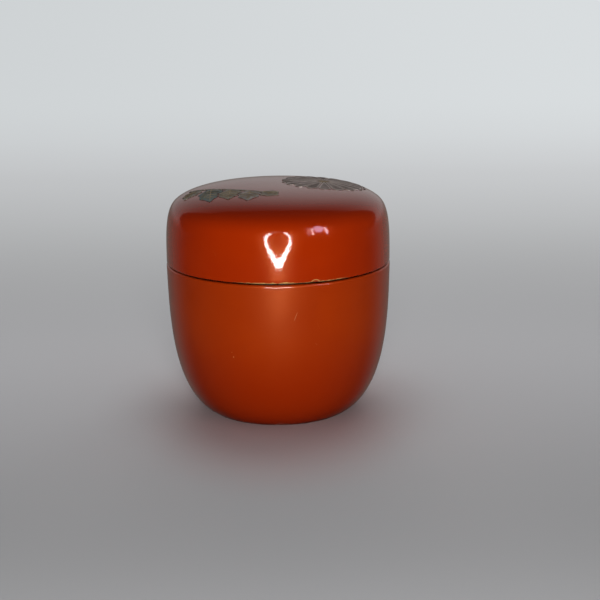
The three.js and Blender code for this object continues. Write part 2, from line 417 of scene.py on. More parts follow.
@dataclass(frozen=True)
class Spot:
    """A soft mark at one place of a surface: its middle, half sizes and turn, in mm and degrees."""

    centre: tuple[float, float, float]
    reach: tuple[float, float, float]
    turn: tuple[float, float, float] = (0, 0, 0)
    core: float = 0.6
    strength: float = 1.0

    def mark(self, tree: bpy.types.NodeTree, place: bpy.types.NodeSocket) -> bpy.types.Node:
        """Adds the mark.

        Args:
            tree: The node tree.
            place: The object coordinates.

        Returns:
            The node with its strength: full inside the core, falling to 0 at its reach.
        """
        inputs = {
            "Vector": place,
            "Location": Vector(self.centre) * MM,
            "Rotation": Euler([math.radians(angle) for angle in self.turn]),
            "Scale": Vector(self.reach) * MM,
        }
        moved = add(tree, "ShaderNodeMapping", inputs, vector_type="TEXTURE")
        far = add(tree, "ShaderNodeVectorMath", {0: moved}, operation="LENGTH")
        fall = {"Value": far, "From Min": 1.0, "From Max": self.core, "To Max": self.strength}
        return add(tree, "ShaderNodeMapRange", fall, **SMOOTH)


class Polish(Enum):
    """How far the lacquer was polished.

    The values are the weight and the roughness of the clear film on top, the roughness of the
    haze under it, and how strongly that haze glows round a lamp.
    """

    MIRROR = (0.9, 0.03, 0.22, 0.3)
    SATIN = (0.75, 0.07, 0.34, 0.65)


@dataclass(frozen=True)
class VermilionLacquer(Finish):
    """Tree lacquer with cinnabar, brushed on, dried and polished.

    It gives the eye a deep orange red under a clear gloss, slightly cloudy, with a painted shade
    that darkens it between two heights. The patterns' sizes are in millimetres, as are the heights.
    """

    title: str
    polish: Polish
    colour: str
    cloud: str
    # The colour of the painted shade, and the two heights between which it comes in
    painted_shade: str
    painted_shade_heights: tuple[float, float]
    rim: float | None = None
    chip: tuple[float, float, float] = (0, 0, 0)
    marks: tuple[Spot, ...] = ()
    bare: str = "#d08a5c"
    ground: str = "#c79c5e"
    # The colour of the painted seam shadow
    seam_shadow_colour: str = "#170b07"
    haze_tint: tuple[float, float, float, float] = (1.0, 0.35, 0.12, 1.0)
    cloud_size: float = 22
    haze_size: float = 9
    wave_size: float = 7
    grain_size: float = 0.7
    relief: float = 0.012
    scratch_spacing: float = 16
    patch_size: float = 6
    speck_spacing: float = 3.2
    rub_height: float = 0.9
    rub_middle: float = 3.5
    rub_reach: float = 14
    seam_shadow_height: float = 0.19

    def shader(self, tree: bpy.types.NodeTree, place: bpy.types.NodeSocket) -> bpy.types.Node:
        """Builds the lacquer, its marks and its worn rim, with a painted shade between two heights
        and a painted shadow along the seam.

        Args:
            tree: The node tree.
            place: The object coordinates.

        Returns:
            The shader node.
        """
        film, film_roughness, haze, glow = self.polish.value
        clouds = {"Vector": place, "Scale": per_mm(self.cloud_size), "Distortion": 0.3}
        clouds = add(tree, "ShaderNodeTexNoise", clouds)
        clouds = {"Value": clouds, "From Min": 0.3, "From Max": 0.7}
        clouds = add(tree, "ShaderNodeMapRange", clouds, **SMOOTH)
        tones = {"Factor": clouds, "A": linear(self.colour), "B": linear(self.cloud)}
        colour = add(tree, "ShaderNodeMix", tones, **IN_COLOUR)
        # Between two heights the red is painted darker: a painted shade, not a change in the
        # lacquer
        height = add(tree, "ShaderNodeSeparateXYZ", {0: place}).outputs["Z"]
        start, end = (edge * MM for edge in self.painted_shade_heights)
        depth = {"Value": height, "From Min": start, "From Max": end}
        depth = add(tree, "ShaderNodeMapRange", depth, **SMOOTH)
        tones = {"Factor": depth, "A": colour, "B": linear(self.painted_shade)}
        colour = add(tree, "ShaderNodeMix", tones, **IN_COLOUR)
        tones = {"Factor": self.marked(tree, place), "A": colour, "B": linear(self.bare)}
        colour = add(tree, "ShaderNodeMix", tones, **IN_COLOUR)
        patches = {"Vector": place, "Scale": per_mm(self.haze_size), "Detail": 3}
        patches = add(tree, "ShaderNodeTexNoise", patches)
        rough = {"Value": patches, "From Min": 0.3, "From Max": 0.7}
        rough |= {"To Min": haze - 0.01, "To Max": haze + 0.02}
        rough = add(tree, "ShaderNodeMapRange", rough, **SMOOTH)
        if self.rim is not None:
            rubbed = self.rubbed(tree, place)
            tones = {"Factor": rubbed, "A": colour, "B": linear(self.ground)}
            colour = add(tree, "ShaderNodeMix", tones, **IN_COLOUR)
            # The seam's shadow is painted as a dark line at the foot of the rim's arris
            tones = {"Factor": self.paint_seam_shadow(tree, place), "A": colour, "B": linear(self.seam_shadow_colour)}
            colour = add(tree, "ShaderNodeMix", tones, **IN_COLOUR)
            matt = add(tree, "ShaderNodeMath", {0: rubbed, 1: 0.55}, operation="MULTIPLY")
            rough = add(tree, "ShaderNodeMath", {0: rough, 1: matt}, operation="MAXIMUM")
        # The cured film keeps a faint skin of waves and brush grain, which frays a reflected lamp
        waves = {"Vector": place, "Scale": per_mm(self.wave_size), "Detail": 1}
        waves = add(tree, "ShaderNodeTexNoise", waves)
        grain = {"Vector": place, "Scale": per_mm(self.grain_size)}
        grain = add(tree, "ShaderNodeTexNoise", grain)
        skin = add(tree, "ShaderNodeMath", {0: grain, 1: 1.2, 2: waves}, operation="MULTIPLY_ADD")
        bump = add(tree, "ShaderNodeBump", {"Height": skin, "Distance": self.relief * MM})
        inputs = {
            "Base Color": colour,
            "Roughness": rough,
            "IOR": 1.5,
            "Specular IOR Level": glow,
            "Specular Tint": self.haze_tint,
            "Coat Weight": film,
            "Coat Roughness": film_roughness,
            "Coat IOR": 1.5,
            "Normal": bump,
            "Coat Normal": bump,
        }
        return add(tree, "ShaderNodeBsdfPrincipled", inputs)

    def marked(self, tree: bpy.types.NodeTree, place: bpy.types.NodeSocket) -> bpy.types.Node:
        """Adds the hairline scratches, dust specks and single marks of a used surface.

        Args:
            tree: The node tree.
            place: The object coordinates.

        Returns:
            The node that says how far each place is marked.
        """
        # A scratch follows the line where a slow noise crosses its middle, in a few patches
        lines = {"Vector": place, "Scale": per_mm(self.scratch_spacing), "Detail": 0}
        lines = add(tree, "ShaderNodeTexNoise", lines | {"Distortion": 1.2})
        off = add(tree, "ShaderNodeMath", {0: lines, 1: 0.5}, operation="SUBTRACT")
        off = add(tree, "ShaderNodeMath", {0: off}, operation="ABSOLUTE")
        hair = {"Value": off, "From Min": 0.0018, "From Max": 0.0005, "To Max": 0.35}
        hair = add(tree, "ShaderNodeMapRange", hair, **SMOOTH)
        few = {"Vector": place, "Scale": per_mm(self.patch_size), "Detail": 1}
        few = {"Value": add(tree, "ShaderNodeTexNoise", few), "From Min": 0.7, "From Max": 0.76}
        few = add(tree, "ShaderNodeMapRange", few, **SMOOTH)
        marks = add(tree, "ShaderNodeMath", {0: hair, 1: few}, operation="MULTIPLY")
        # A speck sits in the middle of about one cell in eight
        cells = {"Vector": place, "Scale": per_mm(self.speck_spacing)}
        cells = add(tree, "ShaderNodeTexVoronoi", cells)
        dot = {"Value": cells, "From Min": 0.06, "From Max": 0.035, "To Max": 0.45}
        dot = add(tree, "ShaderNodeMapRange", dot, **SMOOTH)
        few = {"Value": cells.outputs["Color"], "From Min": 0.86, "From Max": 0.9}
        few = add(tree, "ShaderNodeMapRange", few, **SMOOTH)
        specks = add(tree, "ShaderNodeMath", {0: dot, 1: few}, operation="MULTIPLY")
        marks = add(tree, "ShaderNodeMath", {0: marks, 1: specks}, operation="MAXIMUM")
        for spot in self.marks:
            single = spot.mark(tree, place)
            marks = add(tree, "ShaderNodeMath", {0: marks, 1: single}, operation="MAXIMUM")
        return marks

    def rubbed(self, tree: bpy.types.NodeTree, place: bpy.types.NodeSocket) -> bpy.types.Node:
        """Rubs the lacquer off the rim's arris, in front and in patches, down to the ground.

        Args:
            tree: The node tree.
            place: The object coordinates.

        Returns:
            The node that says how far each place is worn.
        """
        split = add(tree, "ShaderNodeSeparateXYZ", {0: place}).outputs
        uneven = add(tree, "ShaderNodeTexNoise", {"Vector": place, "Scale": per_mm(2.2)})
        uneven = {0: uneven, 1: 1.1 * MM, 2: split["Z"]}
        low = add(tree, "ShaderNodeMath", uneven, operation="MULTIPLY_ADD")
        top = self.rim + self.rub_height
        band = {"Value": low, "From Min": (top + 0.08) * MM, "From Max": (top - 0.08) * MM}
        band = add(tree, "ShaderNodeMapRange", band, **SMOOTH)
        off = {0: split["X"], 1: self.rub_middle * MM}
        off = add(tree, "ShaderNodeMath", off, operation="SUBTRACT")
        off = add(tree, "ShaderNodeMath", {0: off}, operation="ABSOLUTE")
        ends = (self.rub_reach + 2.5) * MM, (self.rub_reach - 2.5) * MM
        held = {"Value": off, "From Min": ends[0], "From Max": ends[1]}
        held = add(tree, "ShaderNodeMapRange", held, **SMOOTH)
        front = {"Value": split["Y"], "From Min": -10 * MM, "From Max": -20 * MM}
        front = add(tree, "ShaderNodeMapRange", front, **SMOOTH)
        front = add(tree, "ShaderNodeMath", {0: held, 1: front}, operation="MULTIPLY")
        worn = add(tree, "ShaderNodeMath", {0: band, 1: front}, operation="MULTIPLY")
        # The ground shows as a pale line round the chip, strongest half way down its slope
        chip = Spot(self.chip, (1.5, 2.0, 1.0)).mark(tree, place)
        rest = add(tree, "ShaderNodeMath", {0: 1.0, 1: chip}, operation="SUBTRACT")
        line = add(tree, "ShaderNodeMath", {0: chip, 1: rest}, operation="MULTIPLY")
        line = add(tree, "ShaderNodeMath", {0: line, 1: 4.0}, operation="MULTIPLY")
        return add(tree, "ShaderNodeMath", {0: worn, 1: line}, operation="MAXIMUM")

    def paint_seam_shadow(self, tree: bpy.types.NodeTree, place: bpy.types.NodeSocket) -> bpy.types.Node:
        """Paints the seam's shadow as a dark line along the foot of the rim's arris.

        Args:
            tree: The node tree.
            place: The object coordinates.

        Returns:
            The node that says how far each place is darkened.
        """
        height = add(tree, "ShaderNodeSeparateXYZ", {0: place}).outputs["Z"]
        edge = self.rim + self.seam_shadow_height
        line = {"Value": height, "From Min": (edge + 0.05) * MM, "From Max": (edge - 0.05) * MM}
        return add(tree, "ShaderNodeMapRange", line, **SMOOTH)


@dataclass(frozen=True)
class BlackLacquer(Finish):
    """Tree lacquer blackened with iron, polished: a deep brown black with a clear gloss."""

    title: str = "black_lacquer_polished"

    def shader(self, tree: bpy.types.NodeTree, place: bpy.types.NodeSocket) -> bpy.types.Node:
        """Builds the black lacquer.

        Args:
            tree: The node tree.
            place: The object coordinates.

        Returns:
            The shader node.
        """
        clouds = {"Vector": place, "Scale": per_mm(10), "Detail": 3}
        clouds = add(tree, "ShaderNodeTexNoise", clouds)
        tones = {"Factor": clouds, "A": linear("#1b1310"), "B": linear("#261c17")}
        colour = add(tree, "ShaderNodeMix", tones, **IN_COLOUR)
        patches = {"Vector": place, "Scale": per_mm(4), "Detail": 3}
        patches = add(tree, "ShaderNodeTexNoise", patches)
        rough = {"Value": patches, "From Min": 0.3, "From Max": 0.7, "To Min": 0.22, "To Max": 0.32}
        rough = add(tree, "ShaderNodeMapRange", rough, **SMOOTH)
        inputs = {
            "Base Color": colour,
            "Roughness": rough,
            "Coat Weight": 0.7,
            "Coat Roughness": 0.08,
            "Normal": add(tree, "ShaderNodeBump", {"Height": clouds, "Distance": 0.01 * MM}),
        }
        return add(tree, "ShaderNodeBsdfPrincipled", inputs)


@dataclass(frozen=True)
class TurnedWood(Finish):
    """Zelkova turned thin on the lathe: a pale brown ground with darker year rings."""

    title: str = "zelkova_turned"

    def shader(self, tree: bpy.types.NodeTree, place: bpy.types.NodeSocket) -> bpy.types.Node:
        """Builds the wood.

        Args:
            tree: The node tree.
            place: The object coordinates.

        Returns:
            The shader node.
        """
        # Year rings about 2 mm apart run up through the blank, off its middle
        moved = {"Vector": place, "Location": Vector((40, 15, 0)) * MM, "Scale": (1, 1, 0.12)}
        grain = add(tree, "ShaderNodeMapping", moved)
        rings = {"Vector": grain, "Scale": per_mm(12), "Distortion": 3.0, "Detail": 3.0}
        wave = add(tree, "ShaderNodeTexWave", rings, wave_type="RINGS", rings_direction="Z")
        tones = {"Factor": wave, "A": linear("#b58d5e"), "B": linear("#8a6238")}
        colour = add(tree, "ShaderNodeMix", tones, **IN_COLOUR)
        # Its open pores are long and half a millimetre wide
        pores = add(tree, "ShaderNodeTexNoise", {"Vector": grain, "Scale": per_mm(0.5)})
        bump = add(tree, "ShaderNodeBump", {"Height": pores, "Distance": 0.05 * MM})
        inputs = {"Base Color": colour, "Roughness": 0.7, "Normal": bump}
        return add(tree, "ShaderNodeBsdfPrincipled", inputs)


@dataclass(frozen=True)
class SprinkledPowder(Finish):
    """Metal powder sprinkled in wet lacquer and burnished: a soft, grainy, tarnished metal."""

    title: str
    colour: str
    tarnish: str
    metal: float
    rough: float
    rim: str | None = None

    def shader(self, tree: bpy.types.NodeTree, place: bpy.types.NodeSocket) -> bpy.types.Node:
        """Builds the powder.

        Args:
            tree: The node tree.
            place: The object coordinates.

        Returns:
            The shader node.
        """
        stain = {"Vector": place, "Scale": per_mm(2.2), "Detail": 3, "Distortion": 0.5}
        stain = {"Value": add(tree, "ShaderNodeTexNoise", stain), "From Min": 0.4, "From Max": 0.62}
        stain = add(tree, "ShaderNodeMapRange", stain, **SMOOTH)
        tones = {"Factor": stain, "A": linear(self.colour), "B": linear(self.tarnish)}
        colour = add(tree, "ShaderNodeMix", tones, **IN_COLOUR)
        # Grains of 0.1 mm, drawn at 0.22 mm so that they still show
        grains = add(tree, "ShaderNodeTexVoronoi", {"Vector": place, "Scale": per_mm(0.22)})
        light = {"Value": grains.outputs["Color"], "From Min": 0.2, "From Max": 0.9, "To Max": 0.5}
        light = add(tree, "ShaderNodeMapRange", light, **SMOOTH)
        tones = {"Factor": light, "A": colour, "B": linear(self.colour)}
        colour = add(tree, "ShaderNodeMix", tones, **IN_COLOUR)
        rough = {"Value": stain, "To Min": self.rough, "To Max": self.rough + 0.12}
        rough = add(tree, "ShaderNodeMapRange", rough, **SMOOTH)
        metal: bpy.types.Node | float = self.metal
        if self.rim:
            # Each petal was drawn round with a line of purer powder, kept in its rim attribute
            line = add(tree, "ShaderNodeAttribute", {}, attribute_name=RIM).outputs["Fac"]
            tones = {"Factor": line, "A": colour, "B": linear(self.rim)}
            colour = add(tree, "ShaderNodeMix", tones, **IN_COLOUR)
            metal = {"Value": line, "To Min": self.metal, "To Max": 0.7}
            metal = add(tree, "ShaderNodeMapRange", metal, **SMOOTH)
            smoother = add(tree, "ShaderNodeMath", {0: line, 1: 0.15}, operation="MULTIPLY")
            rough = add(tree, "ShaderNodeMath", {0: rough, 1: smoother}, operation="SUBTRACT")
        grit = {"Height": grains, "Distance": 0.02 * MM, "Strength": 0.5}
        inputs = {
            "Base Color": colour,
            "Metallic": metal,
            "Roughness": rough,
            "Specular IOR Level": 0.25,
            "Normal": add(tree, "ShaderNodeBump", grit),
        }
        return add(tree, "ShaderNodeBsdfPrincipled", inputs)


# Old silver has gone brown grey and keeps a bright line only round each petal
SILVER = SprinkledPowder("silver_powder_tarnished", "#7a6d68", "#5f534d", 0.1, 0.5, "#c2b7af")
# Gold doesn't tarnish, so the fine lines stay the warmest and brightest of the powders
GOLD = SprinkledPowder("gold_powder_line", "#958363", "#7b694c", 0.3, 0.4)
# Thin gold worn down to the dark lacquer under it looks olive
OLIVE = SprinkledPowder("gold_powder_worn", "#80786b", "#6a6258", 0.2, 0.42)
# Pewter over a blue-green ground is the darkest and coolest leaf
DARK = SprinkledPowder("pewter_powder_dark", "#5c6664", "#4b5452", 0.1, 0.42)
# Silver laid thickly tarnishes evenly, to a pale dull grey
DULL = SprinkledPowder("silver_powder_dull", "#8b837e", "#736b66", 0.15, 0.42)


# The caddy


@dataclass
class Coats:
    """The layers of a turned piece: a wood core under bonded coats."""

    thickness: float = 0.25
    bond: float = 0.05

    def under(self, stretches: list[Line], depth: float) -> Line:
        """Joins the stretches of a section at their shared points, and insets the whole."""
        rest = [point for line in stretches[1:] for point in line[1:]]
        return inset([*stretches[0], *rest], depth)

    def core(self, stretches: list[Line]) -> Line:
        """Returns the section of the wood under the coats."""
        return self.under(stretches, self.thickness + self.bond)

    def sections(self, stretches: list[Line]) -> list[Line]:
        """Splits a coated section into its coats.

        Args:
            stretches: The stretches of the whole section, each of one finish.

        Returns:
            The closed section of each coat; the coats meet at the mitres of the line.
        """
        backs = self.under(stretches, self.thickness)
        start, sections = 0, []
        for line in stretches:
            back = backs[start : start + len(line)][::-1]
            start += len(line) - 1
            sections.append([*line, *back] if line[0].x < ON_AXIS else [*back, *line])
        return sections


@dataclass
class Cup:
    """The cup: a round side that draws in to the foot, and the standing lip."""

    radius: float = 33
    seam_height: float = 44.4
    foot_radius: float = 21
    foot_rise: float = 30
    foot_pull: float = 14
    seam_lean: float = 2
    seam_pull: float = 12
    arris: float = 0.75
    ring_width: float = 2.6
    recess_depth: float = 0.9
    recess_slope: float = 0.8
    base_coat_height: float = 1
    wall: float = 2.8
    floor_thickness: float = 3.2
    floor_fillet: float = 4.5
    lip_height: float = 8.5
    lip_radius: float = 30.75
    lip_thickness: float = 1.5
    lip_edge: float = 0.4
    coats: Coats = field(default_factory=Coats)

    def stretches(self) -> list[Line]:
        """Draws the section.

        Returns:
            The base, the wall and the inside, from the middle of the base to the floor's.
        """
        foot = at(self.foot_radius, 0)
        seam = at(self.radius, self.seam_height)
        pull = foot + step(self.foot_rise, self.foot_pull)
        back = seam - step(90 - self.seam_lean, self.seam_pull)
        side = cubic(foot, pull, back, seam, CURVE_STEPS)
        ring = at(self.foot_radius - self.ring_width, 0)
        edge = at(ring.x - self.recess_slope, self.recess_depth)
        middle = at(0, self.recess_depth)
        base = [
            middle,
            *eased(middle, edge, ring, self.recess_slope / 2),
            *eased(edge, ring, foot, self.recess_slope / 2),
            *below(side, self.base_coat_height),
        ]

        inner = self.lip_radius - self.lip_thickness
        top = self.seam_height + self.lip_height
        root, outer = at(self.lip_radius, self.seam_height), at(self.lip_radius, top)
        inner_top, mouth = at(inner, top), at(inner, self.seam_height)
        arris = eased(side[-2], seam, root, self.arris)
        wall = above(side, self.base_coat_height)
        wall = [*(point for point in wall if point.y < arris[0].y - 0.1), *arris]
        floor = self.recess_depth + self.floor_thickness
        cavity = above(inset(side, self.wall), floor + self.floor_fillet)
        cavity = below(cavity, self.seam_height - self.arris)[::-1]
        cavity = [at(min(point.x, inner), point.y) for point in cavity]
        inside = [
            *eased(root, outer, inner_top, self.lip_edge),
            *eased(outer, inner_top, mouth, self.lip_edge),
            *cavity[:-1],
            *self.fillet(cavity[-2], cavity[-1], floor),
            at(0, floor),
        ]
        return [base, wall, [arris[-1], root, *inside]]

    def fillet(self, upper: Vector, lower: Vector, floor: float) -> Line:
        """Rounds the corner between the cavity's wall and its floor.

        Args:
            upper: The last point but one of the wall.
            lower: The last point of the wall.
            floor: The height of the floor.

        Returns:
            The points of the round.
        """
        fall = lower - upper
        corner = lower + fall * ((floor - lower.y) / fall.y)
        return eased(upper, corner, at(0, floor), (corner - lower).length)

    def build(self) -> None:
        """Builds and dresses the cup's wood and its three coats."""
        # A hairline, a nick and a faint scratch on the front of the side
        marks = (
            Spot((4.6, -32.5, 35.4), (0.12, 1.2, 1.6), (0, 22, 8), strength=0.5),
            Spot((-12.9, -28.6, 23.1), (0.22, 1.2, 0.35), strength=0.8),
            Spot((10.2, -29.8, 27.0), (0.1, 1.2, 0.9), (0, -40, 0), strength=0.3),
        )
        vermilion = VermilionLacquer(
            "vermilion_lacquer_satin",
            Polish.SATIN,
            colour="#a73200",
            cloud="#a02d00",
            # Towards the foot the red is painted darker, a painted shade
            painted_shade="#9a2700",
            painted_shade_heights=(32, 12),
            marks=marks,
        )
        stretches = self.stretches()
        wood = finish_mesh("cup_turned_core", turned(self.coats.core(stretches)))
        hand_in(wood, "cup", "cup_wood", TurnedWood().material())
        dress = [
            ("cup_foot_coat", "cup_base_lacquer", "vermilion_lacquer", vermilion),
            ("cup_side_coat", "cup_side_lacquer", "vermilion_lacquer", vermilion),
            ("cup_inside_coat", "cup_inner_lacquer", "black_lacquer", BlackLacquer()),
        ]
        for section, (name, node, slot, finish) in zip(self.coats.sections(stretches), dress):
            piece = finish_mesh(name, turned(section))
            hand_in(piece, "cup", node, finish.material())


@dataclass
class Lid:
    """The lid: a plain side, a round shoulder and a low crown, over a straight bore."""

    rim_height: float = 44.7
    radius: float = 32.9
    height: float = 22.8
    rim_pull: float = 8
    shoulder_inset: float = 2.9
    shoulder_drop: float = 4.8
    shoulder_angle: float = 40
    shoulder_pull_out: float = 4
    shoulder_pull_in: float = 5
    crown_pull: float = 18
    wall: float = 2
    arris: float = 0.5
    edge: float = 0.4
    bore_top: float = 9.3
    bore_run_in: float = 1.5
    chip_angle: float = 18
    chip_width: float = 3.4
    chip_height: float = 0.75
    chip_depth: float = 0.16
    chip_lift: float = 0.048
    chip_reach: float = 0.2
    coats: Coats = field(default_factory=Coats)

    def outside(self) -> Line:
        """Draws the outside.

        Returns:
            The points from the rim over the shoulder to the middle of the crown.
        """
        rim, crown = at(self.radius, 0), at(0, self.height)
        shoulder = at(self.radius - self.shoulder_inset, self.height - self.shoulder_drop)
        turn = 180 - self.shoulder_angle
        wall = cubic(
            rim,
            rim + at(0, self.rim_pull),
            shoulder - step(turn, self.shoulder_pull_out),
            shoulder,
            CURVE_STEPS // 2,
        )
        dome = cubic(
            shoulder,
            shoulder + step(turn, self.shoulder_pull_in),
            crown + at(self.crown_pull, 0),
            crown,
            CURVE_STEPS,
        )
        return [*wall, *dome[1:]]

    def stretches(self) -> list[Line]:
        """Draws the section.

        Returns:
            The inside and the outside, from the middle of the ceiling to the crown.
        """
        outside = self.outside()
        bore = self.radius - self.wall
        foot, rim = at(bore, 0), outside[0]
        ceiling = above(inset(outside, self.wall), self.bore_top + self.bore_run_in)[::-1]
        mouth = eased(at(bore, self.bore_top), foot, rim, self.edge)
        arris = eased(foot, rim, outside[1], self.arris)
        inside = [*ceiling, at(bore, self.bore_top), *mouth, arris[0]]
        over = [point for point in outside if point.y > arris[-1].y + 0.1]
        return [inside, [*arris, *over]]

    def chip(self, bm: bmesh.types.BMesh) -> None:
        """Breaks a small shallow chip out of the rim's arris.

        Args:
            bm: The outer coat, which is changed.
        """
        for vert in bm.verts:
            up = (vert.co.z - self.rim_height) / self.chip_height
            around = math.atan2(vert.co.x, -vert.co.y) - math.radians(self.chip_angle)
            along = around * self.radius / (self.chip_width / 2)
            if vert.co.to_2d().length < self.radius - self.chip_reach or up > 1 or abs(along) > 1:
                continue
            share = max(0.0, 1 - up**2 - along**2)
            inward = -vert.co.to_2d().normalized() * self.chip_depth * min(1, share * 2)
            vert.co += Vector((*inward, self.chip_lift * share))

    def build(self) -> None:
        """Builds and dresses the lid's wood and its two coats."""
        turn = math.radians(self.chip_angle)
        place = (self.radius * math.sin(turn), -self.radius * math.cos(turn), self.rim_height)
        vermilion = VermilionLacquer(
            "vermilion_lacquer_mirror",
            Polish.MIRROR,
            colour="#a82b00",
            cloud="#a12700",
            # Over the crown the red is painted darker, a painted shade
            painted_shade="#751800",
            painted_shade_heights=(58, 64.5),
            rim=self.rim_height,
            chip=place,
        )
        stretches = self.stretches()
        wood = finish_mesh("lid_turned_core", turned(self.coats.core(stretches), self.rim_height))
        hand_in(wood, "lid", "lid_wood", TurnedWood().material())
        inner, outer = self.coats.sections(stretches)
        piece = finish_mesh("lid_inside_coat", turned(inner, self.rim_height))
        black = BlackLacquer().material()
        hand_in(piece, "lid", "lid_inner_lacquer", black)
        shell = turned(outer, self.rim_height)
        self.chip(shell)
        piece = finish_mesh("lid_outside_coat", shell)
        red = vermilion.material()
        hand_in(piece, "lid", "lid_outer_lacquer", red)


@dataclass
class Crown:
    """The surface of the crown, as the ornament follows it."""

    lid: Lid
    lowest: float = 12
    heights: Line = field(init=False)
    radii: list[float] = field(init=False)

    def __post_init__(self) -> None:
        """Keeps the outside from the middle out, by rising radius."""
        self.heights = [point for point in self.lid.outside()[::-1] if point.y > self.lowest]
        self.radii = [point.x for point in self.heights]

    def height(self, radius: float) -> float:
        """Finds the height of the surface at a radius.

        Args:
            radius: The distance from the axis.

        Returns:
            The height over the table.
        """
        i = min(max(bisect_left(self.radii, radius), 1), len(self.radii) - 1)
        low, high = self.heights[i - 1], self.heights[i]
        share = (radius - low.x) / (high.x - low.x)
        return self.lid.rim_height + low.y + (high.y - low.y) * share

    def lay(self, bm: bmesh.types.BMesh, lift: float) -> None:
        """Lays a flat relief, its thickness up Z, on the crown.

        Args:
            bm: The relief, which is changed.
            lift: How far its underside clears the surface.
        """
        for vert in bm.verts:
            vert.co.z += self.height(vert.co.to_2d().length) + lift


@dataclass
class Flower:
    """An open chrysanthemum of narrow petals round a small heart."""

    crown: Crown
    centre: tuple[float, float] = (13.7, 3)
    radius: float = 12.5
    heart_radius: float = 1.5
    petals: int = 18
    root_width: float = 0.3
    gap: float = 0.35
    rim_width: float = 0.5
    lift: float = 0.05
    thickness: float = 0.15
    edge_share: float = 0.6
    steps: int = 24
    steps_across: int = 12
    heart_steps: int = 40

    def petal(self, turn: float) -> bmesh.types.BMesh:
        """Shapes a petal from a grid.

        Args:
            turn: Where it points, in degrees.

        Returns:
            The petal, laid on the crown.
        """
        pitch = 2 * math.pi / self.petals
        start = max(self.heart_radius + self.gap, (self.root_width + self.gap) / pitch)
        tip = (self.radius * pitch - self.gap) / (2 + pitch)
        bm = bmesh.new()
        rim = bm.verts.layers.float.new(RIM)
        bmesh.ops.create_grid(bm, x_segments=self.steps, y_segments=self.steps_across, size=1)
        for vert in bm.verts:
            share, across = (vert.co.x + 1) / 2, vert.co.y
            along = start + (self.radius - start) * math.sin(share * math.pi / 2)
            past = max(0.0, along - (self.radius - tip)) / tip
            half = min((along * pitch - self.gap) / 2, tip) * math.sqrt(max(0.0, 1 - past**2))
            full = min(1.0, half / tip)
            swell = (1 - self.edge_share) * full * (1 - across**2)
            rise = self.thickness * (self.edge_share + swell)
            vert.co = Vector((along, half * across, rise))
            edge = min(half * (1 - abs(across)), self.radius - along)
            vert[rim] = max(0.0, 1 - edge / self.rim_width)
        return self.relief(bm, turn)

    def relief(self, bm: bmesh.types.BMesh, turn: float) -> bmesh.types.BMesh:
        """Gives a petal or the heart its underside and its place.

        Args:
            bm: The top of the relief.
            turn: Where it points, in degrees.

        Returns:
            The closed relief, laid on the crown.
        """
        backed(bm)
        bmesh.ops.rotate(bm, verts=bm.verts, cent=Vector(), matrix=z_turn(turn))
        bmesh.ops.translate(bm, verts=bm.verts, vec=Vector((*self.centre, 0)))
        self.crown.lay(bm, self.lift)
        return bm

    def build(self) -> None:
        """Builds and dresses the heart and the petals."""
        bm = bmesh.new()
        steps, radius = self.heart_steps, self.heart_radius
        bmesh.ops.create_circle(bm, cap_ends=True, segments=steps, radius=radius)
        bmesh.ops.inset_region(bm, faces=bm.faces, thickness=radius / 3)
        bmesh.ops.poke(bm, faces=[face for face in bm.faces if len(face.verts) > 4])
        for vert in bm.verts:
            fall = (1 - self.edge_share) * (vert.co.length / radius) ** 2
            vert.co.z = self.thickness * (1 - fall)
        piece = finish_mesh("flower_heart_boss", self.relief(bm, 0))
        hand_in(piece, "lid", "flower_heart", GOLD.material())
        for i in range(self.petals):
            petal = self.petal((i + 0.5) * 360 / self.petals)
            piece = finish_mesh(f"petal_relief_{i + 1:02d}", petal)
            hand_in(piece, "lid", f"petal_{i + 1:02d}", SILVER.material())


@dataclass(frozen=True)
class Leaf:
    """One leaf of the spray: its name, length and width, where it grows and its powder."""

    name: str
    length: float
    width: float
    along: float
    angle: float
    powder: SprinkledPowder
    slot: str

    def half_width(self, share: float, margin: float = 0.0) -> float:
        """Finds half the width of the outline, full near the root, drawn in to a pointed tip.

        Args:
            share: Where along the leaf, as a share of its length.
            margin: How far the outline is grown.

        Returns:
            Half the width there.
        """
        body = math.sin(math.pi * share**0.85) ** (0.6 + 0.5 * share) if 0 < share < 1 else 0.0
        # The lobes are shallow notches, up to a fifth of the width deep
        lobes = 1 - 0.1 * (1 - math.cos(2 * LEAF_LOBES * math.pi * share))
        return self.width / 2 * body * lobes + margin


